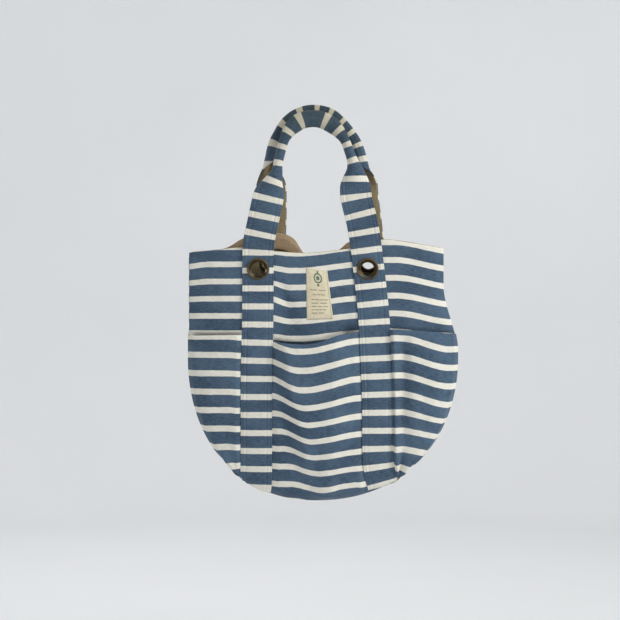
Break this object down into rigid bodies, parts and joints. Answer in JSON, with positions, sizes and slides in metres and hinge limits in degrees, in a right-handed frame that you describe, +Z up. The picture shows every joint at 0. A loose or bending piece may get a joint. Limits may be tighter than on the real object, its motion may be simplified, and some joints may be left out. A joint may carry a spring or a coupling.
{
  "type": "tote bag",
  "caption": "Soft striped carrying bag with lining, patch pockets, sewn-on straps that fold into round grips, metal eyelets and a mouth that spreads open.",
  "frame": {"origin": "the point that the grips hang from, on the underside of the front grip, midway between the grips front to back", "axes": "+Z up, +X to the right of someone facing the front, front towards -Y"},
  "size_m": [0.4246, 0.072, 0.6105],
  "materials": {
    "striped_cotton": "heathered blue cotton knit with cream stripes",
    "khaki_lining": "plain cotton twill",
    "label_cotton": "unbleached cotton tape",
    "antique_brass": "dark antique plate with rubbed highlights"
  },
  "bodies": {
    "bag_back": {"back_yoke_left": "striped_cotton", "back_yoke_right": "striped_cotton", "back_panel_left": "striped_cotton", "back_panel_centre": "striped_cotton", "back_panel_right": "striped_cotton", "back_lining": "khaki_lining", "back_facing": "khaki_lining", "back_strap_left": "striped_cotton", "back_strap_right": "striped_cotton", "back_eyelet_left": "antique_brass", "back_eyelet_right": "antique_brass", "back_washer_left": "antique_brass", "back_washer_right": "antique_brass", "back_pocket_left": "striped_cotton", "back_pocket_centre": "striped_cotton", "back_pocket_right": "striped_cotton"},
    "bag_front": {"front_yoke_left": "striped_cotton", "front_yoke_right": "striped_cotton", "front_panel_left": "striped_cotton", "front_panel_centre": "striped_cotton", "front_panel_right": "striped_cotton", "front_lining": "khaki_lining", "front_facing": "khaki_lining", "front_strap_left": "striped_cotton", "front_strap_right": "striped_cotton", "front_eyelet_left": "antique_brass", "front_eyelet_right": "antique_brass", "front_washer_left": "antique_brass", "front_washer_right": "antique_brass", "front_pocket_left": "striped_cotton", "front_pocket_centre": "striped_cotton", "front_pocket_right": "striped_cotton", "label": "label_cotton"},
    "front_handle": {"front_handle_strap": "striped_cotton", "front_handle_lining": "khaki_lining"},
    "back_handle": {"back_handle_strap": "striped_cotton", "back_handle_lining": "khaki_lining"}
  },
  "joints": [
    {"name": "mouth_open", "type": "hinge", "parent": "bag_back", "child": "bag_front", "pos_m": [0, 0, -0.574], "axis": [1, 0, 0], "range_deg": [0, 14]},
    {"name": "front_handle_fold", "type": "hinge", "parent": "bag_front", "child": "front_handle", "pos_m": [0, -0.0202, -0.1885], "axis": [1, 0, 0], "range_deg": [0, 150]},
    {"name": "back_handle_fold", "type": "hinge", "parent": "bag_back", "child": "back_handle", "pos_m": [0, 0.0195, -0.1735], "axis": [-1, 0, 0], "range_deg": [0, 150]}
  ]
}
